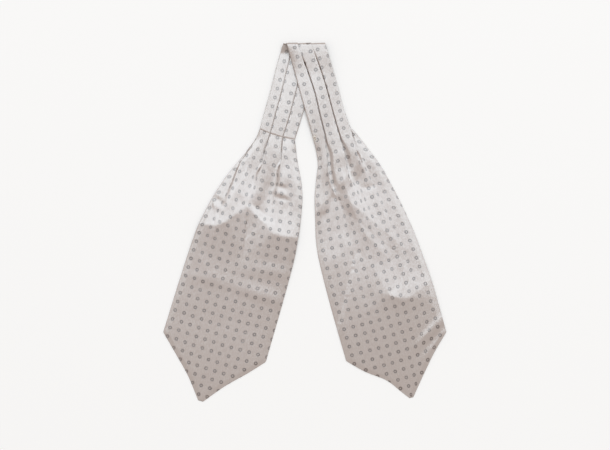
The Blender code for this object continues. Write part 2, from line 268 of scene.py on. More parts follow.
# Soft ridges and troughs: the share of the marks' heights, how far each slopes away behind and in
# front of its crest, the power of that slope, where 2 stands for a rounded crest, and its crest
# from end to end, in millimetres. Walking along a crest that runs outwards, the front is the side
# towards the tip. On one that runs down, it is the side towards the inner edge.
ROUNDED = 2.0
LEFT_CREST = (
    Mark(287, -92, 3.0),
    Mark(293, -53, 4.2),
    Mark(294, -36, 4.2),
    Mark(281, -18, 3.5),
    Mark(276, -8, 3.1),
    Mark(265, 9, 3.0),
    Mark(267, 16, 3.3),
    Mark(280, 26, 4.2),
    Mark(297, 39, 4.4),
    Mark(307, 52, 4.0),
    Mark(314, 92, 3.0),
)
LEFT_CREASES = (
    Crease(0.80, 134, 150, 1.2, LEFT_CREST),
    Crease(0.38, 40, 60, 1.5, LEFT_CREST),
    Crease(1.0, 58, 40, 1.2, (
        Mark(246, 10, 0.0),
        Mark(250, 22, 1.1),
        Mark(250, 38, 1.1),
        Mark(246, 50, 0.0),
    )),
    Crease(1.0, 46, 9, 1.3, (
        Mark(272, -36, 0.0),
        Mark(271, -18, -2.0),
        Mark(264, -2, -1.6),
        Mark(256, 14, 0.0),
    )),
    Crease(1.0, 6, 6, 2.0, (Mark(223, -16, 0.0), Mark(222, -26, -0.7), Mark(220, -44, 0.0))),
    Crease(1.0, 6, 7, 2.0, (Mark(231, -14, 0.0), Mark(232, -30, 0.5), Mark(233, -50, 0.0))),
    Crease(1.0, 6, 6, 2.0, (Mark(238, -22, 0.0), Mark(238, -34, -0.6), Mark(237, -48, 0.0))),
    Crease(1.0, 34, 44, 1.5, (
        Mark(205, -64, 0.0),
        Mark(208, -50, 0.7),
        Mark(206, -32, 0.7),
        Mark(204, -20, 0.0),
    )),
    Crease(1.0, 7, 7, 2.0, (Mark(264, 80, 0.0), Mark(268, 60, -0.9), Mark(273, 44, 0.0))),
    Crease(1.0, 6, 8, 2.0, (Mark(275, 80, 0.0), Mark(278, 62, 0.4), Mark(283, 44, 0.0))),
    Crease(1.0, 14, 14, 2.0, (Mark(196, -9, 0.0), Mark(226, -12, -1.2), Mark(268, -14, 0.0))),
    Crease(1.0, 18, 18, 2.0, (Mark(381, 20, 0.0), Mark(370, 50, 0.3), Mark(356, 80, 0.1))),
    Crease(1.0, 16, 18, 2.0, (Mark(346, -82, 0.3), Mark(350, -50, 0.5), Mark(358, 4, 0.0))),
    Crease(1.0, 18, 16, 2.0, (
        Mark(391, -80, 0.3),
        Mark(390, -42, 0.6),
        Mark(388, 0, 0.2),
        Mark(389, 44, 0.5),
        Mark(392, 66, 0.1),
    )),
)
RIGHT_CREASES = (
    Crease(1.0, 165, 160, 1.5, (
        Mark(340, -76, 1.3),
        Mark(328, -40, 1.5),
        Mark(318, -20, 1.6),
        Mark(328, -4, 2.1),
        Mark(380, 9, 3.3),
        Mark(410, 17, 3.7),
        Mark(424, 36, 4.1),
        Mark(414, 62, 3.8),
        Mark(404, 86, 2.8),
    )),
    Crease(1.0, 36, 25, 1.2, (
        Mark(198, -2.0, 0.0),
        Mark(220, -1.4, 1.3),
        Mark(242, -1.0, 2.1),
        Mark(262, -0.4, 2.1),
        Mark(283, 1.8, 1.6),
        Mark(307, 7.0, 1.2),
        Mark(338, 22.0, 0.8),
        Mark(360, 32.0, 0.0),
    )),
    Crease(1.0, 24, 22, 1.2, (
        Mark(186, -22, 0.0),
        Mark(202, -24, -0.4),
        Mark(220, -25, -1.1),
        Mark(240, -26, -1.4),
        Mark(258, -27, -1.1),
        Mark(306, -30, 0.0),
    )),
    Crease(1.0, 50, 190, 2.0, (
        Mark(214, 4, 0.0),
        Mark(228, 13, -1.6),
        Mark(240, 27, -1.6),
        Mark(250, 42, -1.1),
        Mark(258, 62, -0.5),
    )),
    Crease(1.0, 46, 200, 2.0, (
        Mark(311, -66, -1.2),
        Mark(300, -50, -1.4),
        Mark(290, -36, -1.4),
        Mark(280, -22, -1.3),
        Mark(270, -8, -1.0),
        Mark(262, 4, 0.0),
    )),
    Crease(1.0, 8, 6, 2.0, (Mark(236, 16, 0.0), Mark(240, 32, -0.4), Mark(238, 52, 0.0))),
    Crease(1.0, 9, 14, 2.0, (Mark(262, -58, 0.0), Mark(262, -44, -0.5), Mark(270, -30, 0.0))),
    Crease(1.0, 40, 26, 1.6, (Mark(398, -4, 0.0), Mark(414, 26, 1.2), Mark(426, 60, 0.4))),
    Crease(1.0, 9, 9, 2.0, (Mark(478, 86, -0.6), Mark(497, 55, -0.8), Mark(516, 24, 0.0))),
    Crease(1.0, 24, 9, 1.6, (Mark(464, 84, 0.6), Mark(483, 52, 1.1), Mark(500, 26, 0.0))),
)

# How far the pleating and the cut shift the woven rows and columns of rings, in millimetres, at
# four places across the cloth
FLOW_PLACES = (0.015, 0.062, 0.112, 0.150)
LEFT_FLOW = (
    Flow(10, -4.0, -5.0, -5.3, -5.0, 8.9, 8.9, 11.4, 7.5),
    Flow(50, -1.5, -2.4, -2.4, -3.0, 8.8, 8.8, 9.8, 7.4),
    Flow(90, -0.2, -0.2, -1.4, -2.0, 8.3, 8.5, 10.1, 6.6),
    Flow(130, 0.6, 1.1, -0.2, -1.5, 6.9, 7.3, 9.6, 5.8),
    Flow(160, 0.4, 1.4, 0.0, -1.7, 6.6, 11.0, 13.0, 6.6),
    Flow(190, -1.8, 2.6, 1.0, -1.9, 7.1, 11.7, 15.3, 7.0),
    Flow(220, -3.2, 3.0, 1.4, -2.8, 7.4, 11.0, 15.2, 6.6),
    Flow(255, -2.8, 2.8, 2.0, -3.3, 6.3, 9.4, 12.6, 6.4),
    Flow(285, -3.0, 3.0, 1.9, -3.8, 5.4, 7.0, 10.1, 7.1),
    Flow(315, -2.8, 1.8, 0.8, -3.8, 4.3, 4.6, 6.6, 5.8),
    Flow(345, -2.8, 0.2, -1.4, -4.1, 4.3, 4.2, 4.4, 4.6),
    Flow(375, -3.1, -1.1, -1.9, -3.9, 4.5, 3.9, 3.9, 4.4),
    Flow(430, -2.6, -0.6, -1.7, -3.7, 4.1, 3.5, 3.2, 3.7),
    Flow(500, -0.9, 0.3, -1.0, -3.2, 3.7, 3.8, 3.2, 2.9),
)
RIGHT_FLOW = (
    Flow(10, -8.0, -10.0, -9.8, -9.0, -0.2, -0.6, 4.6, 2.8),
    Flow(40, -6.6, -8.6, -9.0, -8.6, -0.6, -0.0, 2.6, 1.8),
    Flow(80, -5.4, -6.6, -6.0, -6.3, -1.5, -0.3, 0.3, 0.3),
    Flow(120, -2.4, -5.4, -6.8, -6.6, -3.0, -4.2, -3.6, -1.6),
    Flow(150, -1.2, -4.8, -7.0, -7.8, -5.6, -6.4, -6.2, -7.4),
    Flow(180, -0.8, -3.2, -4.8, -7.9, -7.0, -8.8, -7.6, -7.8),
    Flow(210, -1.2, -3.0, -4.0, -7.8, -6.4, -7.6, -8.4, -5.8),
    Flow(240, -1.8, -2.0, -3.9, -6.5, -5.9, -4.1, -9.5, -4.3),
    Flow(270, -2.0, -1.0, -3.7, -6.4, -4.5, -2.0, -8.5, -3.3),
    Flow(300, -1.8, 0.0, -2.6, -6.5, -1.9, -0.4, -4.9, -0.9),
    Flow(345, -0.4, 1.9, -0.2, -6.1, -0.8, -0.4, -2.3, 0.3),
    Flow(375, 0.4, 2.2, 0.6, -5.2, -0.8, -0.5, -1.2, 0.2),
    Flow(430, -0.3, 1.3, 1.4, -4.9, 0.1, -0.1, 0.0, 0.3),
    Flow(500, 0.2, 1.2, 0.5, -5.5, 0.1, 0.4, 0.4, 0.4),
)

# The photograph's view, straight down
PIXEL = 0.00155            # size of a pixel on the floor
PHOTO_PIXELS = 610
VIEW_WIDTH = PHOTO_PIXELS * PIXEL
VIEW_CENTRE = (0.0023, -0.0050)
LENS = 60.0
SENSOR = 36.0

# Colours, as linear light
GROUND = (0.449, 0.374, 0.340, 1.0)
GROUND_DEEP = (0.420, 0.340, 0.304, 1.0)
FIGURE = (0.060, 0.024, 0.012, 1.0)
THREAD_BEIGE = (0.540, 0.440, 0.380, 1.0)
THREAD_CREAM = (0.820, 0.770, 0.700, 1.0)
FLOOR = (0.962, 0.941, 0.927, 1.0)
FLOOR_HALF = 6.0
STUDIO = (1.0, 0.93, 0.88, 1.0)
STUDIO_STRENGTH = 0.58
SOFTBOX_COLOUR = (0.82, 0.93, 1.0)

# Grain of the silk and the thread: scales to a metre of cloth, and how they are stretched
TONE_SCALE = 38.0
GRAIN_SCALE = 1500.0
GRAIN_STRETCH = (1.0, 0.08, 1.0)
GRAIN_SHARE = 0.12         # how much of the figure's colour the grain takes on
RIB_SCALE = 600.0
CRINKLE_SCALE = 520.0
CRINKLE_STRETCH = (1.0, 0.55, 1.0)
THREAD_SCALE = 420.0
TWIST_SCALE = 900.0

# Depth of the relief in metres, and each pattern's share of it
SILK_BUMP = 0.00010
RIB_SHARE = 0.12
RING_SHARE = -0.25
CRINKLE_SHARE = 0.9
THREAD_BUMP = 0.00005

# Roughness of the satin from its smoothest to its roughest tone, and how much a ring adds
SILK_ROUGHNESS = (0.21, 0.26)
RING_ROUGHER = 0.12

# The softbox, in metres, with its near edge over the neckband's seam
SOFTBOX_X = (-6.2, 9.6)
SOFTBOX_Y = (0.14, 10.3)
SOFTBOX_HEIGHT = 12.0
SOFTBOX_RADIANCE = 2.44


def smooth_step(value):
    """Eases from 0 to 1, level at both ends."""
    value = np.clip(value, 0.0, 1.0)
    return value * value * (3.0 - 2.0 * value)


def read(rows, column, down):
    """A column of a table at distances down: a smooth curve through its rows, in metres."""
    knots = np.array([row.down for row in rows], float)
    values = np.array([getattr(row, column) for row in rows], float)
    slopes = np.empty(len(rows))
    slopes[1:-1] = (values[2:] - values[:-2]) / (knots[2:] - knots[:-2])
    slopes[0] = (values[1] - values[0]) / (knots[1] - knots[0])
    slopes[-1] = (values[-1] - values[-2]) / (knots[-1] - knots[-2])
    place = np.clip(np.asarray(down) / MM, knots[0], knots[-1])
    after = np.clip(np.searchsorted(knots, place), 1, len(rows) - 1)
    before = after - 1
    span = knots[after] - knots[before]
    t = (place - knots[before]) / span
    curve = (
        (2 * t**3 - 3 * t**2 + 1) * values[before]
        + (t**3 - 2 * t**2 + t) * span * slopes[before]
        + (3 * t**2 - 2 * t**3) * values[after]
        + (t**3 - t**2) * span * slopes[after]
    )
    return curve * MM


def edges(arm, down):
    """Inner and outer edge of an arm, as distances out from its middle line."""
    found = []
    for column in ("inner", "outer"):
        edge = np.where(
            down <= NECK_SEAM,
            read(arm.band, column, down),
            np.where(
                down <= CORNERS,
                read(arm.sides, column, down),
                read(arm.point, column, down),
            ),
        )
        found.append(edge)
    return -found[0], found[1]


def pleats(arm, down):
    """Edge and height of each pleat. Below the mouth they keep their share of the width."""
    row = np.minimum(down, PLEATS_END)
    inner, outer = edges(arm, row)
    inner_here, outer_here = edges(arm, down)
    fade = 1.0 - smooth_step((down - PLEATS_END) / (CORNERS - PLEATS_END))
    found = []
    for name in ("first", "second", "third"):
        share = (read(arm.pleats, name, row) - inner) / (outer - inner)
        place = inner_here + share * (outer_here - inner_here)
        found.append((place, read(arm.pleats, "rise_" + name, row) * fade))
    return found


def opening(mouth, down, room):
    """How far a pleat has opened, the width of its slope then, and the width it takes up."""
    opened = smooth_step((down / MM - mouth.opens) / (mouth.opened - mouth.opens))
    widened = smooth_step((down - OPEN_SLOPE_FROM) / OPEN_SLOPE_OVER)
    slope = OPEN_SLOPE + OPEN_SLOPE_GAIN * widened
    slope = np.minimum(slope, room * OPEN_SLOPE_SHARE)
    below = smooth_step((down - GAPE_FROM) / GAPE_OVER)
    crack = mouth.above * MM + (mouth.gape - mouth.above) * MM * below
    return opened, slope, (1.0 - opened) * crack + opened * slope


def crack_dip(mouth, down):
    """How far the next panel dips into a crack, and the width over which it comes up."""
    begun = smooth_step((down / MM - mouth.begins) / DIP_BEGINS_OVER)
    past = down / MM - mouth.opens + DIP_ENDS_EARLY
    risen = smooth_step(past / (mouth.opened - mouth.opens))
    widened = smooth_step((down - DIP_FROM) / DIP_OVER)
    spread = CRACK_EASE + (mouth.spread * MM - CRACK_EASE) * widened
    return mouth.dip * MM * begun * (1.0 - risen), spread


def dipped(rise, beside, sink, spread):
    """Height of a panel at a distance beside the crack that it dips into."""
    return rise - sink * (1.0 - smooth_step(beside / spread))


def cross_sections(arm, down):
    """Rows across an arm's face: places out, heights and places across the cloth itself.

    Each panel rises to its pleat's edge, where the cloth turns back under it and then forward
    again. In the mouth the turn opens into a slope.
    """
    inner, outer = edges(arm, down)
    # Past the corners the blade is cut to a point, but places on the cloth carry on as above.
    full_inner, full_outer = edges(arm, np.minimum(down, CORNERS))
    hidden = np.maximum(CLOTH_WIDTH - (full_outer - full_inner), 0.0) / 3
    # Along the neckband the last panel lies out of sight behind the third pleat's edge.
    tucked = 1.0 - smooth_step((down - arm.mouths[2].begins * MM) / PANEL_TUCK_EASE)
    cover = outer - tucked * PANEL_TUCK
    outs = []
    rises = []
    cloths = []

    def add(place, rise, cloth):
        outs.append(place)
        rises.append(rise)
        cloths.append(cloth)

    start = inner
    sink = np.zeros_like(inner)
    spread = CRACK_EASE
    cloth = np.maximum(inner - full_inner, 0.0)
    for share in ROLL_STEPS:
        add(start + EDGE_ROLL * share, np.zeros_like(start), cloth + EDGE_ROLL * share)
    for index, (edge, rise) in enumerate(pleats(arm, down)):
        mouth = arm.mouths[index]
        opened, slope, gap = opening(mouth, down, outer - edge)
        depth = FOLD_DEPTH * (1.0 - opened)
        lead = np.minimum(FOLD_LEAD, LEAD_SHARE * (edge - start))
        columns = PANEL_COLUMNS[index]
        first = EDGE_ROLL if index == 0 else 0.0
        first = np.minimum(first, FIRST_ROLL_SHARE * (edge - start))
        for column in range(columns):
            share = column / columns
            place = start + first + share * (edge - lead - start - first)
            part = (place - start) / (edge - lead - start)
            shape = part * (1.0 - opened) + opened * smooth_step(part) ** OPEN_SHARPNESS
            height = dipped(rise * shape, place - start, sink, spread)
            add(place, height, cloth + place - start)
        sink, spread = crack_dip(mouth, down)
        cloth = cloth + edge - start
        for turn in TURNS:
            folded = edge + turn.near * MM - turn.back * depth
            over = rise * (1.0 - turn.back * depth / np.maximum(edge - start, depth))
            height = np.maximum(turn.level * over - turn.drop * MM, 0.0)
            height = height - sink * (1.0 - turn.level)
            slope_place = edge + turn.along * slope - (lead if turn.along == 0.0 else 0.0)
            slope_height = rise * (1.0 - smooth_step(turn.along))
            place = (1.0 - opened) * folded + opened * slope_place
            if index == 2 and turn.along > 0.5:
                limit = np.maximum(cover, edge - PANEL_TUCK_LIMIT)
                place = np.where(tucked > 0.0, np.minimum(place, limit), place)
            add(
                place,
                (1.0 - opened) * height + opened * slope_height,
                cloth + turn.along * (hidden + gap),
            )
        start = edge + gap
        cloth = cloth + hidden + gap
    start = np.minimum(start, cover - LEAST_WIDTH * tucked)
    columns = PANEL_COLUMNS[3]
    roll = np.minimum(EDGE_ROLL, LAST_ROLL_SHARE * np.maximum(outer - start, LEAST_WIDTH))
    for column in range(columns):
        place = start + (cover - roll - start) * column / columns
        add(place, dipped(0.0, place - start, sink, spread), cloth + place - start)
    for share in (1.0, *reversed(ROLL_STEPS)):
        place = cover - roll * share
        add(place, np.zeros_like(place), cloth + place - start)
    return np.stack(outs, 1), np.stack(rises, 1), np.stack(cloths, 1)


def weave_map(arm, cloth, level):
    """Places on the woven figure, from those across and along the cloth."""
    down = level.mean(axis=1)
    shifts = []
    for way in ("across", "along"):
        rows = np.stack([read(arm.flow, way + "_" + mark, down) for mark in "abcd"], 1)
        shifts.append(
            np.array([np.interp(c, FLOW_PLACES, row) for c, row in zip(cloth, rows)])
        )
    return np.stack([cloth - shifts[0], level - shifts[1]], -1)


def crease_heights(creases, out, down):
    """Height that an arm's soft ridges and troughs add at each point."""
    total = np.zeros_like(out)
    for crease in creases:
        nearest = np.full(out.shape, np.inf)
        height = np.zeros_like(out)
        front = np.zeros(out.shape, bool)
        for start, end in zip(crease.rows, crease.rows[1:]):
            run = ((end.out - start.out) * MM, (end.down - start.down) * MM)
            away = (out - start.out * MM, down - start.down * MM)
            along = (away[0] * run[0] + away[1] * run[1]) / (run[0] ** 2 + run[1] ** 2)
            along = np.clip(along, 0.0, 1.0)
            distance = np.hypot(away[0] - along * run[0], away[1] - along * run[1])
            closer = distance < nearest
            nearest = np.where(closer, distance, nearest)
            side = run[0] * away[1] - run[1] * away[0] > 0.0
            front = np.where(closer, side, front)
            height = np.where(closer, start.height + along * (end.height - start.height), height)
        reach = np.where(front, crease.reach_front, crease.reach_back) * MM
        slope = np.maximum(0.0, 1.0 - nearest / reach)
        if crease.power >= ROUNDED:
            slope = smooth_step(slope)
        else:
            slope = slope**crease.power
        total += crease.share * height * MM * slope
    return total


def seam_bow(out, down):
    """How far a row is bent up along the curved seam, less and less below it."""
    bend = SEAM_BOW * (out / HALF_NECK) ** 2
    return bend * (1.0 - smooth_step((down - NECK_SEAM) / (2 * HALF_NECK)))


def on_arm(arm, out, down):
    """World place of points of an arm, seen from above."""
    lean = arm.side * SPREAD
    across = arm.side * out
    return (
        arm.fold[0] + across * math.cos(lean) + down * math.sin(lean),
        arm.fold[1] + across * math.sin(lean) - down * math.cos(lean),
    )


def down_to_line(arm, out, line):
    """How far down an arm the points at these places out lie on a level line."""
    lean = arm.side * SPREAD
    return (arm.fold[1] - line + arm.side * out * math.sin(lean)) / math.cos(lean)


def rounded(distance, radius):
    """Share of the full height near a turned edge: a quarter round."""
    inside = np.clip(distance / radius, 0.0, 1.0)
    return np.sqrt(np.maximum(0.0, 1.0 - (1.0 - inside) ** 2))


def thinned(distance, neck):
    """Share of the full height near a blade's edge: it thins out, then turns under."""
    ease = smooth_step(distance / EDGE_EASE)
    left = neck + (1.0 - neck) * (EDGE_SHARE + (1.0 - EDGE_SHARE) * ease)
    return left * rounded(distance, EDGE_ROLL + neck * (BAND_ROLL - EDGE_ROLL))


def roll_inside(x):
    """Inner radius of the roll at the top, looser at its left end."""
    left_end = LEFT_FOLD[0] - HALF_NECK
    return ROLL_INSIDE + LEFT_LOOP * (1.0 - smooth_step((x - left_end) / LOOP_REACH))


def roll_slide():
    """How far the neckband's slant carries it along the fold on its way round the roll."""
    return math.pi * (ROLL_INSIDE + BAND_THICK / 2) * math.tan(SPREAD)


def lift(x, y):
    """Height of the upper arm's underside: over the lower arm, then down beside it."""
    lean = SPREAD
    across = (x - LEFT_FOLD[0]) * math.cos(lean) - (y - LEFT_FOLD[1]) * math.sin(lean)
    over = (BAND_THICK + SEAM_GAP) * (
        1.0 - smooth_step((across - SLOPE_START) / SLOPE_WIDTH)
    )
    settled = 1.0 - smooth_step((LEFT_FOLD[1] - y) / ROLL_SETTLES)
    return over + (2 * roll_inside(x) - SEAM_GAP) * settled


def add_object(name, data):
    """A new object in the scene."""
    made = bpy.data.objects.new(name, data)
    bpy.context.scene.collection.objects.link(made)
    return made


def make_sheet(name, arm, points, cloth):
    """A sheet from rows of points, with places on the cloth as its map, and a wall below it."""
    rows, columns = points.shape[:2]
    index = np.arange(rows * columns).reshape(rows, columns)
    faces = np.stack(
        [index[:-1, :-1], index[1:, :-1], index[1:, 1:], index[:-1, 1:]], axis=-1
    ).reshape(-1, 4)
    if arm.side < 0:
        faces = faces[:, ::-1]
    mesh = bpy.data.meshes.new(name)
    mesh.from_pydata(points.reshape(-1, 3).tolist(), [], faces.tolist())
    layer = mesh.uv_layers.new(name="Cloth")
    loops = np.empty(len(mesh.loops), int)
    mesh.loops.foreach_get("vertex_index", loops)
    layer.data.foreach_set("uv", cloth.reshape(-1, 2)[loops].astype(np.float32).ravel())
    mesh.shade_smooth()
    mesh.update()
    piece = add_object(name, mesh)
    shell = piece.modifiers.new("Wall", "SOLIDIFY")
    shell.thickness = SHEET_WALL
    shell.offset = -1.0
    return piece


def tip_of(arm):
    """How far down an arm its tip lies."""
    return arm.point[-1].down * MM


def blade_rows(arm, start):
    """Distances down from the start to the tip, evenly spaced."""
    tip = tip_of(arm)
    count = math.ceil((tip - start) / ROW_STEP)
    return np.linspace(start, tip, count + 1)


def blade_surface(arm, down, base):
    """Points and cloth map of a blade's face below the seam."""
    out, rise, cloth = cross_sections(arm, down)
    level = np.broadcast_to(down[:, None], out.shape)
    inner, outer = edges(arm, down)
    distance = np.minimum(out - inner[:, None], outer[:, None] - out)
    billow = crease_heights(arm.creases, out, level)
    end = rounded(tip_of(arm) - level, EDGE_ROLL)
    neck = 1.0 - smooth_step((down[:, None] - NECK_SEAM) / NECK_EASE)
    rim = EDGE_MIDDLE + EDGE_LIFT * np.maximum(billow, 0.0) * end
    rim = rim + neck * (BAND_THICK / 2 - rim)
    height = np.maximum(base[:, None] + rise + billow, LEAST_HEIGHT)
    z = rim + (height - rim) * thinned(distance, neck) * end
    place = level - seam_bow(out, level)
    x, y = on_arm(arm, out, place)
    return np.stack([x, y, z], -1), weave_map(arm, cloth, place)


def band_levels(arm, out, share, last):
    """Distances down a neckband: level beside the fold, square to the arm at its seam."""
    top = down_to_line(arm, out, arm.fold[1] - FOLD_BACK)
    end = last - seam_bow(out, NECK_SEAM)
    return top + (end - top) * share[:, None]


def band_height(arm, out, rise, down):
    """Height of a neckband's face over its underside, turned down at both edges."""
    inner, outer = edges(arm, down)
    distance = np.minimum(out - inner[:, None], outer[:, None] - PANEL_TUCK - out)
    height = BAND_THICK - BAND_RELIEF + rise
    edge = rounded(distance, BAND_ROLL)
    # The third pleat's own edge needs no turning down.
    edge = np.where((rise > 0.0) & (out > 0.0), 1.0, edge)
    return BAND_THICK / 2 + (height - BAND_THICK / 2) * edge


def make_right_face(arm):
    """The upper arm's face in one sheet: the roll at the fold, the neckband and the blade."""
    share = np.linspace(0.0, 1.0, BAND_ROWS)
    nominal = share * NECK_SEAM
    out, rise, cloth = cross_sections(arm, nominal)
    level = band_levels(arm, out, share, NECK_SEAM)
    height = band_height(arm, out, rise, nominal)
    x, y = on_arm(arm, out, level)
    band = np.stack([x, y, lift(x, y) + height], -1)
    band_map = weave_map(arm, cloth, level)

    turn = np.linspace(0.0, math.pi, ROLL_ROWS, endpoint=False)[:, None]
    inside = roll_inside(x[0])
    centre = BAND_THICK + inside
    radius = inside + height[0]
    show = turn / math.pi
    shift = (1.0 - show) * roll_slide()
    roll = np.stack(
        [
            x[0] - shift,
            y[0] + (ROLL_INSIDE + height[0]) * np.sin(turn),
            centre - radius * np.cos(turn),
        ],
        -1,
    )
    around = (show - 1.0) * math.pi * (ROLL_INSIDE + BAND_THICK)
    roll_map = np.broadcast_to(band_map[0], roll.shape[:2] + (2,)).copy()
    roll_map[..., 1] += around

    down = blade_rows(arm, NECK_SEAM)[1:]
    base = PANEL_BASE + (BAND_THICK - BAND_RELIEF - PANEL_BASE) * (
        1.0 - smooth_step((down - NECK_SEAM) / BASE_EASE)
    )
    blade, blade_map = blade_surface(arm, down, base)
    blade[..., 2] += lift(blade[..., 0], blade[..., 1])
    points = np.concatenate([roll, band, blade])
    cloth_map = np.concatenate([roll_map, band_map, blade_map])
    return make_sheet("right_face", arm, points, cloth_map)


def make_left_band(arm):
    """The lower stretch of neckband, from its seam up into the roll."""
    share = np.linspace(0.0, 1.0, BAND_ROWS)
    nominal = share * NECK_SEAM
    out, rise, cloth = cross_sections(arm, nominal)
    level = band_levels(arm, out, share, NECK_SEAM + BAND_OVERLAP)
    height = band_height(arm, out, rise, nominal)
    # The seamed end turns down onto the blade.
    end = rounded((1.0 - share) * NECK_SEAM, BAND_END_ROLL)[:, None]
    height = BAND_END_MIDDLE + (height - BAND_END_MIDDLE) * end
    x, y = on_arm(arm, out, level)
    loop = roll_inside(x) - ROLL_INSIDE
    height = height + loop * (1.0 - smooth_step((arm.fold[1] - y) / LOOP_RISE))
    band = np.stack([x, y, height], -1)
    band_map = weave_map(arm, cloth, level)
    turn = np.linspace(LEFT_ROLL_SHARE * math.pi, 0.0, ROLL_ROWS, endpoint=False)[:, None]
    inside = roll_inside(x[0])
    centre = BAND_THICK + inside
    radius = centre - height[0]
    show = turn / math.pi
    shift = show * roll_slide()
    roll = np.stack(
        [
            x[0] + shift,
            y[0] + radius * np.sin(turn),
            centre - radius * np.cos(turn),
        ],
        -1,
    )
    roll_map = np.broadcast_to(band_map[0], roll.shape[:2] + (2,)).copy()
    roll_map[..., 1] -= show * math.pi * ROLL_INSIDE
    points = np.concatenate([roll, band])
    cloth_map = np.concatenate([roll_map, band_map])
    return make_sheet("left_neckband", arm, points, cloth_map)


def make_left_face(arm):
    """The lower arm's blade, tucked into the end of its neckband."""
    down = blade_rows(arm, NECK_SEAM - BLADE_TUCK)
    base = PANEL_BASE + LEFT_BASE_RISE * (1.0 - smooth_step((down - NECK_SEAM) / BASE_EASE))
    points, cloth_map = blade_surface(arm, down, base)
    return make_sheet("left_face", arm, points, cloth_map)


def make_back(arm, name):
    """The underside of a whole arm, from the fold to the tip, flat where it rests."""
    spread = 0.5 - 0.5 * np.cos(np.linspace(0.0, math.pi, BACK_COLUMNS))
    share = np.linspace(0.0, 1.0, BACK_BAND_ROWS)
    rows = blade_rows(arm, NECK_SEAM)
    down = np.concatenate([share * NECK_SEAM, rows[1:-1:BACK_ROW_SKIP], rows[-1:]])
    inner, outer = edges(arm, down)
    out = inner[:, None] + (outer - inner)[:, None] * spread
    level = np.broadcast_to(down[:, None], out.shape).copy()
    band = len(share)
    level[:band] = band_levels(arm, out[:band], share, NECK_SEAM)
    level[band:] -= seam_bow(out[band:], level[band:])
    distance = np.minimum(out - inner[:, None], outer[:, None] - out)
    end = rounded(tip_of(arm) - down[:, None], EDGE_ROLL)
    edge = smooth_step(distance / (2 * EDGE_EASE)) * end
    billow = np.maximum(crease_heights(arm.creases, out, np.maximum(level, NECK_SEAM)), 0.0)
    rim = EDGE_MIDDLE - BACK_RIM_DROP + EDGE_LIFT * billow * (down[:, None] > NECK_SEAM)
    rim = np.where(end < 1.0, EDGE_MIDDLE, rim)
    z = rim + (BACK_HEIGHT - rim) * edge
    x, y = on_arm(arm, out, level)
    if arm.side > 0:
        z = z + lift(x, y)
    cloth = np.stack([out - inner[:, None], level], -1)
    return make_sheet(name, arm, np.stack([x, y, z], -1), cloth)


def make_tack(arm):
    """Stitches of pale thread side by side, each going down into the cloth at both ends."""
    down = np.linspace(*TACK_DOWN, TACK_STITCHES)
    place, rise, _ = cross_sections(arm, down)
    share = np.linspace(0.0, 1.0, TACK_STEPS)
    turn = np.linspace(0.0, 2 * math.pi, TACK_SIDES)[:, None]
    points = []
    faces = []
    for row, level in enumerate(down):
        out = TACK_OUT + TACK_SWAY * math.sin(TACK_SWAY_TURN * row) + share * TACK_WIDTH
        up = BAND_THICK - BAND_RELIEF + np.interp(out, place[row], rise[row])
        up = up + THREAD * (STITCH_RISE - STITCH_DIVE * np.abs(2 * share - 1) ** 5)
        x, y = on_arm(arm, out, level + THREAD * np.cos(turn))
        z = lift(x, y) + up + THREAD * np.sin(turn)
        first = row * turn.size * share.size
        points.extend(np.stack([x, y, z], -1).reshape(-1, 3).tolist())
        for around in range(turn.size - 1):
            for step in range(share.size - 1):
                corner = first + around * share.size + step
                across = corner + share.size
                faces.append((corner, corner + 1, across + 1, across))
    mesh = bpy.data.meshes.new("bar_tack")
    mesh.from_pydata(points, [], faces)
    mesh.shade_smooth()
    piece = add_object("bar_tack", mesh)
    mesh.materials.append(tack_thread())
    return piece


class Nodes:
    """Short ways to add and join the nodes of one material."""

    def __init__(self, name):
        self.material = bpy.data.materials.new(name)
        self.material.use_nodes = True
        self.tree = self.material.node_tree
        self.shader = self.tree.nodes["Principled BSDF"]

    def add(self, kind, **settings):
        """A new node with these settings."""
        node = self.tree.nodes.new(kind)
        for name, value in settings.items():
            setattr(node, name, value)
        return node

    def join(self, source, target):
        """Set a socket to a value, or link it to another node's output."""
        if isinstance(source, (int, float, tuple)):
            target.default_value = source
        else:
            self.tree.links.new(source, target)

    def maths(self, operation, *values):
        """The result of one step of arithmetic on numbers."""
        node = self.add("ShaderNodeMath", operation=operation)
        for value, socket in zip(values, node.inputs):
            self.join(value, socket)
        return node.outputs[0]

    def vector(self, operation, *values):
        """The same on vectors. A length comes out as a number."""
        node = self.add("ShaderNodeVectorMath", operation=operation)
        for value, socket in zip(values, node.inputs):
            self.join(value, socket)
        return node.outputs["Value" if operation == "LENGTH" else "Vector"]

    def noise(self, place, scale, detail, roughness=0.5):
        """Soft noise from 0 to 1."""
        node = self.add("ShaderNodeTexNoise")
        self.join(place, node.inputs["Vector"])
        node.inputs["Scale"].default_value = scale
        node.inputs["Detail"].default_value = detail
        node.inputs["Roughness"].default_value = roughness
        return node.outputs["Fac"]

    def ramp(self, value, low, high, to_low=0.0, to_high=1.0):
        """Eases from one value to another between low and high."""
        node = self.add("ShaderNodeMapRange", interpolation_type="SMOOTHSTEP")
        for source, socket in zip((value, low, high, to_low, to_high), node.inputs):
            self.join(source, socket)
        return node.outputs["Result"]

    def mix(self, share, first, second):
        """A colour between the first and the second."""
        node = self.add("ShaderNodeMix", data_type="RGBA")
        self.join(share, node.inputs["Factor"])
        self.join(first, node.inputs[6])
        self.join(second, node.inputs[7])
        return node.outputs[2]


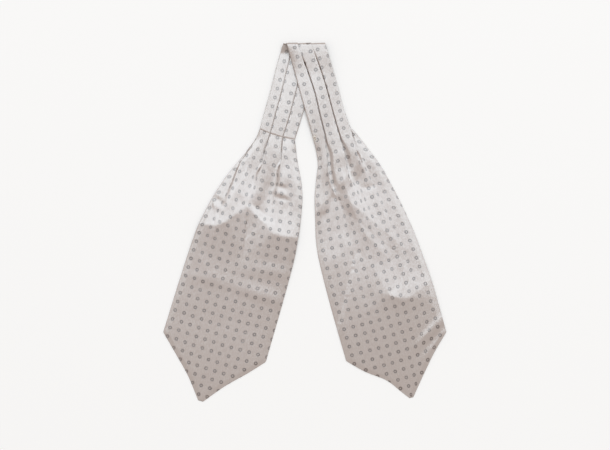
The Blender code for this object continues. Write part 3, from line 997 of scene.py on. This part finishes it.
def silk(name):
    """Satin with a grid of small woven rings, fine ribs and soft changes of tone."""
    nodes = Nodes(name)
    place = nodes.add("ShaderNodeUVMap", uv_map="Cloth").outputs["UV"]
    cell = nodes.vector("DIVIDE", place, (RING_ACROSS, RING_ALONG, 1.0))
    cell = nodes.vector("ADD", cell, RING_SHIFT)
    number = nodes.vector("FLOOR", cell)
    chance = nodes.add("ShaderNodeTexWhiteNoise", noise_dimensions="2D")
    nodes.join(number, chance.inputs["Vector"])
    wander = nodes.vector("SUBTRACT", chance.outputs["Color"], (0.5, 0.5, 0.5))
    wander = nodes.vector("MULTIPLY", wander, (RING_WANDER, RING_WANDER, 0.0))
    inside = nodes.vector("FRACTION", cell)
    inside = nodes.vector("SUBTRACT", inside, (0.5, 0.5, 0.5))
    inside = nodes.vector("MULTIPLY", inside, (RING_ACROSS, RING_ALONG, 0.0))
    inside = nodes.vector("ADD", inside, wander)
    reach = nodes.vector("LENGTH", inside)
    off = nodes.maths("ABSOLUTE", nodes.maths("SUBTRACT", reach, RING_RADIUS))
    ring = nodes.ramp(off, RING_INSIDE, RING_OUTSIDE, 1.0, 0.0)
    strength = chance.outputs["Value"]
    strength = nodes.maths("MULTIPLY_ADD", strength, 1.0 - RING_FAINTEST, RING_FAINTEST)
    ring = nodes.maths("MULTIPLY", ring, strength)

    tone = nodes.noise(place, TONE_SCALE, 3.0)
    grain = nodes.noise(nodes.vector("MULTIPLY", place, GRAIN_STRETCH), GRAIN_SCALE, 1.0)
    ground = nodes.mix(nodes.ramp(tone, 0.35, 0.7), GROUND, GROUND_DEEP)
    ground = nodes.mix(nodes.ramp(grain, 0.3, 0.7, 0.0, GRAIN_SHARE), ground, FIGURE)
    colour = nodes.mix(ring, ground, FIGURE)
    nodes.join(colour, nodes.shader.inputs["Base Color"])

    rib = nodes.add("ShaderNodeTexWave", wave_type="BANDS", bands_direction="Y")
    nodes.join(place, rib.inputs["Vector"])
    rib.inputs["Scale"].default_value = RIB_SCALE
    rib.inputs["Distortion"].default_value = 0.6
    height = nodes.maths("MULTIPLY", rib.outputs["Fac"], RIB_SHARE)
    height = nodes.maths("ADD", height, nodes.maths("MULTIPLY", ring, RING_SHARE))
    stretched = nodes.vector("MULTIPLY", place, CRINKLE_STRETCH)
    crinkle = nodes.noise(stretched, CRINKLE_SCALE, 2.0, 0.6)
    height = nodes.maths("ADD", height, nodes.maths("MULTIPLY", crinkle, CRINKLE_SHARE))
    bump = nodes.add("ShaderNodeBump")
    bump.inputs["Strength"].default_value = 1.0
    bump.inputs["Distance"].default_value = SILK_BUMP
    nodes.join(height, bump.inputs["Height"])
    nodes.join(bump.outputs["Normal"], nodes.shader.inputs["Normal"])

    rough = nodes.ramp(tone, 0.3, 0.7, *SILK_ROUGHNESS)
    rough = nodes.maths("ADD", rough, nodes.maths("MULTIPLY", ring, RING_ROUGHER))
    nodes.join(rough, nodes.shader.inputs["Roughness"])
    nodes.shader.inputs["IOR"].default_value = 1.90
    nodes.shader.inputs["Specular IOR Level"].default_value = 1.0
    nodes.shader.inputs["Sheen Weight"].default_value = 0.05
    nodes.shader.inputs["Sheen Roughness"].default_value = 0.35
    return nodes.material


def tack_thread():
    """Twisted thread, from beige to cream."""
    nodes = Nodes("tack_thread")
    place = nodes.add("ShaderNodeTexCoord").outputs["Object"]
    tone = nodes.ramp(nodes.noise(place, THREAD_SCALE, 1.0), 0.40, 0.60)
    colour = nodes.mix(tone, THREAD_BEIGE, THREAD_CREAM)
    nodes.join(colour, nodes.shader.inputs["Base Color"])
    twist = nodes.add("ShaderNodeTexWave", wave_type="BANDS", bands_direction="DIAGONAL")
    nodes.join(place, twist.inputs["Vector"])
    twist.inputs["Scale"].default_value = TWIST_SCALE
    bump = nodes.add("ShaderNodeBump")
    bump.inputs["Distance"].default_value = THREAD_BUMP
    nodes.join(twist.outputs["Fac"], bump.inputs["Height"])
    nodes.join(bump.outputs["Normal"], nodes.shader.inputs["Normal"])
    nodes.shader.inputs["Roughness"].default_value = 0.55
    return nodes.material


def floor_material():
    """A pale, matt floor."""
    nodes = Nodes("pale_floor")
    nodes.shader.inputs["Base Color"].default_value = FLOOR
    nodes.shader.inputs["Roughness"].default_value = 1.0
    nodes.shader.inputs["Specular IOR Level"].default_value = 0.0
    return nodes.material


def make_floor():
    """A wide square of floor at the height of the part's underside."""
    half = FLOOR_HALF
    mesh = bpy.data.meshes.new("floor")
    corners = [(-half, -half, 0.0), (half, -half, 0.0), (half, half, 0.0), (-half, half, 0.0)]
    mesh.from_pydata(corners, [], [(0, 1, 2, 3)])
    floor = add_object("floor", mesh)
    mesh.materials.append(floor_material())


def make_camera():
    """A camera straight above, as wide as the photograph at the floor."""
    data = bpy.data.cameras.new("camera")
    data.lens = LENS
    data.sensor_width = SENSOR
    camera = add_object("camera", data)
    distance = VIEW_WIDTH * LENS / SENSOR
    camera.location = (VIEW_CENTRE[0], VIEW_CENTRE[1], distance)
    bpy.context.scene.camera = camera


def make_softbox():
    """A level softbox overhead, from its near edge towards the fold, seen in the cloth's sheen."""
    data = bpy.data.lights.new("softbox", "AREA")
    data.shape = "RECTANGLE"
    data.size = SOFTBOX_X[1] - SOFTBOX_X[0]
    data.size_y = SOFTBOX_Y[1] - SOFTBOX_Y[0]
    data.energy = SOFTBOX_RADIANCE * math.pi * data.size * data.size_y
    data.color = SOFTBOX_COLOUR
    light = add_object("softbox", data)
    light.location = (sum(SOFTBOX_X) / 2, sum(SOFTBOX_Y) / 2, SOFTBOX_HEIGHT)


def make_lights():
    """Even, warm studio light from all round, and the softbox."""
    world = bpy.data.worlds.new("studio")
    world.use_nodes = True
    background = world.node_tree.nodes["Background"]
    background.inputs["Color"].default_value = STUDIO
    background.inputs["Strength"].default_value = STUDIO_STRENGTH
    bpy.context.scene.world = world
    make_softbox()


def main():
    """Both arms, their sheets and the tack, on the floor under the camera."""
    bpy.context.scene.view_settings.view_transform = "Standard"
    left = Arm(
        -1,
        LEFT_FOLD,
        LEFT_BAND,
        LEFT_SIDES,
        LEFT_POINT,
        LEFT_PLEATS,
        LEFT_MOUTHS,
        LEFT_CREASES,
        LEFT_FLOW,
    )
    right = Arm(
        1,
        (LEFT_FOLD[0] + roll_slide(), LEFT_FOLD[1]),
        RIGHT_BAND,
        RIGHT_SIDES,
        RIGHT_POINT,
        RIGHT_PLEATS,
        RIGHT_MOUTHS,
        RIGHT_CREASES,
        RIGHT_FLOW,
    )
    make_camera()
    make_lights()
    make_floor()
    face = silk("printed_silk")
    pieces = {
        "right_face": (make_right_face(right), ("neckband_right", "blade_right_front")),
        "right_back": (make_back(right, "right_back"), ("blade_right_back",)),
        "left_neckband": (make_left_band(left), ("neckband_left",)),
        "left_face": (make_left_face(left), ("blade_left_front",)),
        "left_back": (make_back(left, "left_back"), ("blade_left_back",)),
    }
    for name, (piece, nodes) in pieces.items():
        piece.data.materials.append(face)
        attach(piece, "root")
        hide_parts(*nodes)
    tack = make_tack(right)
    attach(tack, "root")


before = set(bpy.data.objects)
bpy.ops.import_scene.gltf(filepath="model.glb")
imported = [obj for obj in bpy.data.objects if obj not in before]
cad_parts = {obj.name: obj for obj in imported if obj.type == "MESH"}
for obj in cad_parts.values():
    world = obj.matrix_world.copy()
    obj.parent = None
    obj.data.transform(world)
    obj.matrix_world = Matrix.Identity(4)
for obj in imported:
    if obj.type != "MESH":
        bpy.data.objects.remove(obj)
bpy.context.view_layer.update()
main()
